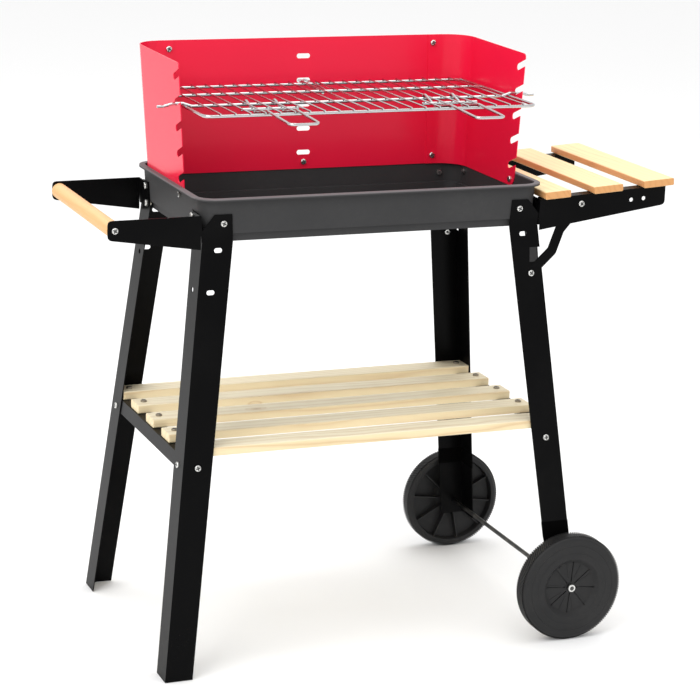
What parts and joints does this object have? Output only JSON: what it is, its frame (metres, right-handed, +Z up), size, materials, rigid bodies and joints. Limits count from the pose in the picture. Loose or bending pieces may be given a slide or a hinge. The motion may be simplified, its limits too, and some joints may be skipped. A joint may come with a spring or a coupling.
{
  "type": "trolley charcoal grill",
  "caption": "Open fire-pan trolley grill with a notched sheet windshield, lift-out wire grate, splayed angle legs, slatted shelves, push handle and wheels.",
  "frame": {"origin": "centre of the bounding box's footprint, on the floor the legs and wheels stand on", "axes": "+X from the push handle towards the side shelf and wheels, +Y from the open front towards the back of the windshield, +Z up"},
  "size_m": [0.8046, 0.4354, 0.797],
  "materials": {
    "pan_enamel": "satin",
    "red_enamel": "gloss",
    "black_paint": "gloss",
    "chrome_wire": "polished",
    "pine": "planed",
    "beech": "turned",
    "wheel_plastic": "matte",
    "zinc": "bright zinc plated"
  },
  "bodies": {
    "frame": {"axle": "zinc", "axle_caps": "zinc", "axle_washers": "zinc", "brace_nuts": "zinc", "brace_screws": "zinc", "dowel_screws": "zinc", "fire_pan": "pan_enamel", "handle_dowel": "beech", "handle_plate_back": "black_paint", "handle_plate_front": "black_paint", "leg_back_left": "black_paint", "leg_back_right": "black_paint", "leg_front_left": "black_paint", "leg_front_right": "black_paint", "leg_nuts": "zinc", "leg_screws": "zinc", "rail_nuts": "zinc", "rail_screws": "zinc", "shelf_rail_left": "black_paint", "shelf_rail_right": "black_paint", "shelf_slat_1": "pine", "shelf_slat_2": "pine", "shelf_slat_3": "pine", "shelf_slat_4": "pine", "shelf_slat_5": "pine", "shelf_slat_nuts": "zinc", "shelf_slat_screws": "zinc", "side_brace_back": "black_paint", "side_brace_front": "black_paint", "side_bracket_back": "black_paint", "side_bracket_front": "black_paint", "side_slat_1": "pine", "side_slat_2": "pine", "side_slat_3": "pine", "side_slat_screws": "zinc", "windshield_back": "red_enamel", "windshield_left": "red_enamel", "windshield_nuts": "zinc", "windshield_right": "red_enamel", "windshield_screws": "zinc"},
    "grate": {"grate": "chrome_wire", "grate_grip_left": "chrome_wire", "grate_grip_right": "chrome_wire"},
    "wheel_front": {"wheel_front": "wheel_plastic"},
    "wheel_back": {"wheel_back": "wheel_plastic"}
  },
  "joints": [
    {"name": "grate_lift", "type": "slide", "parent": "frame", "child": "grate", "axis": [0, -0.9285, 0.3714], "range_m": [0, 0.3]},
    {"name": "wheel_front_spin", "type": "hinge", "parent": "frame", "child": "wheel_front", "pos_m": [0.23996, -0.2055, 0.075], "axis": [0, 1, 0], "continuous": true},
    {"name": "wheel_back_spin", "type": "hinge", "parent": "frame", "child": "wheel_back", "pos_m": [0.23996, 0.2055, 0.075], "axis": [0, 1, 0], "continuous": true}
  ]
}
